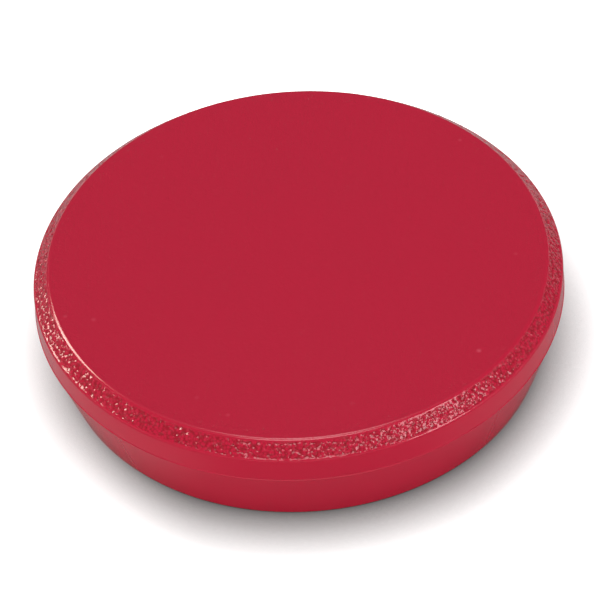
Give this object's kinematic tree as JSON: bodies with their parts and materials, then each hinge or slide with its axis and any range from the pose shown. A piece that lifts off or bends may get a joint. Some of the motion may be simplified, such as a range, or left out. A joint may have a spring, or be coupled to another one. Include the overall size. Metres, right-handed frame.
{
  "type": "disc magnet",
  "caption": "Round flat holding magnet for a board: a chamfered plastic cap that tapers in below its rim, over a flat ceramic magnet disc.",
  "frame": {"origin": "centre of the foot, on the surface that the magnet lies on", "axes": "+Z along the axis of the disc, from the foot up through the flat top; X and Y are free, with a crush rib on +X"},
  "size_m": [0.032, 0.032, 0.0068],
  "materials": {
    "cap_plastic": "satin red moulding with a fine spark grain",
    "ferrite": "dull dark grey ground ferrite"
  },
  "bodies": {
    "root": {"cap": "cap_plastic", "ferrite_disc": "ferrite"}
  },
  "joints": []
}
